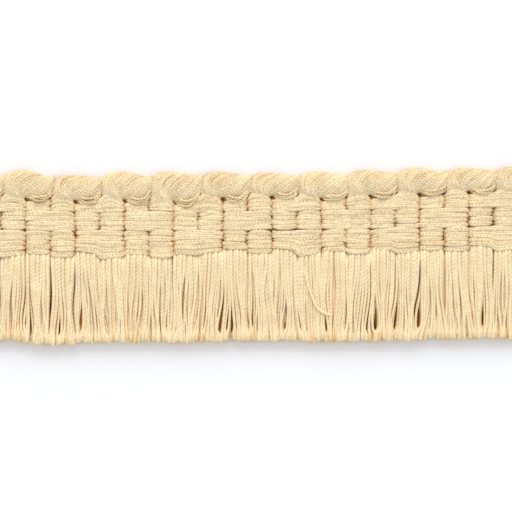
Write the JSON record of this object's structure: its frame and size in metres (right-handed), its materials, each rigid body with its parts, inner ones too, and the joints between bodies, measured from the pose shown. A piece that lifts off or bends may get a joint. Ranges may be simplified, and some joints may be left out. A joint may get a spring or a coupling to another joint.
{
  "type": "brush fringe trim",
  "caption": "Cut length of cotton brush fringe lying face up: a woven heading of soft cords, scalloped loops along its top edge and a full cut fringe below.",
  "frame": {"origin": "middle of the bounding box at the back, which lies on the surface", "axes": "+X along the trim, +Y from the fringe towards the edge loops, +Z out of the face"},
  "size_m": [0.192, 0.0576, 0.0052],
  "materials": {
    "heading_yarn": "matte",
    "weft_yarn": "matte"
  },
  "bodies": {
    "root": {"heading": "heading_yarn", "edge_loop_01": "weft_yarn", "edge_loop_02": "weft_yarn", "edge_loop_03": "weft_yarn", "edge_loop_04": "weft_yarn", "edge_loop_05": "weft_yarn", "edge_loop_06": "weft_yarn", "edge_loop_07": "weft_yarn", "edge_loop_08": "weft_yarn", "edge_loop_09": "weft_yarn", "edge_loop_10": "weft_yarn", "edge_loop_11": "weft_yarn", "edge_loop_12": "weft_yarn", "tuft_01": "weft_yarn", "tuft_02": "weft_yarn", "tuft_03": "weft_yarn", "tuft_04": "weft_yarn", "tuft_05": "weft_yarn", "tuft_06": "weft_yarn", "tuft_07": "weft_yarn", "tuft_08": "weft_yarn", "tuft_09": "weft_yarn", "tuft_10": "weft_yarn", "tuft_11": "weft_yarn", "tuft_12": "weft_yarn", "tuft_13": "weft_yarn", "tuft_14": "weft_yarn", "tuft_15": "weft_yarn", "tuft_16": "weft_yarn", "tuft_17": "weft_yarn", "tuft_18": "weft_yarn", "tuft_19": "weft_yarn", "tuft_20": "weft_yarn", "tuft_21": "weft_yarn", "tuft_22": "weft_yarn", "tuft_23": "weft_yarn", "tuft_24": "weft_yarn"}
  },
  "joints": []
}
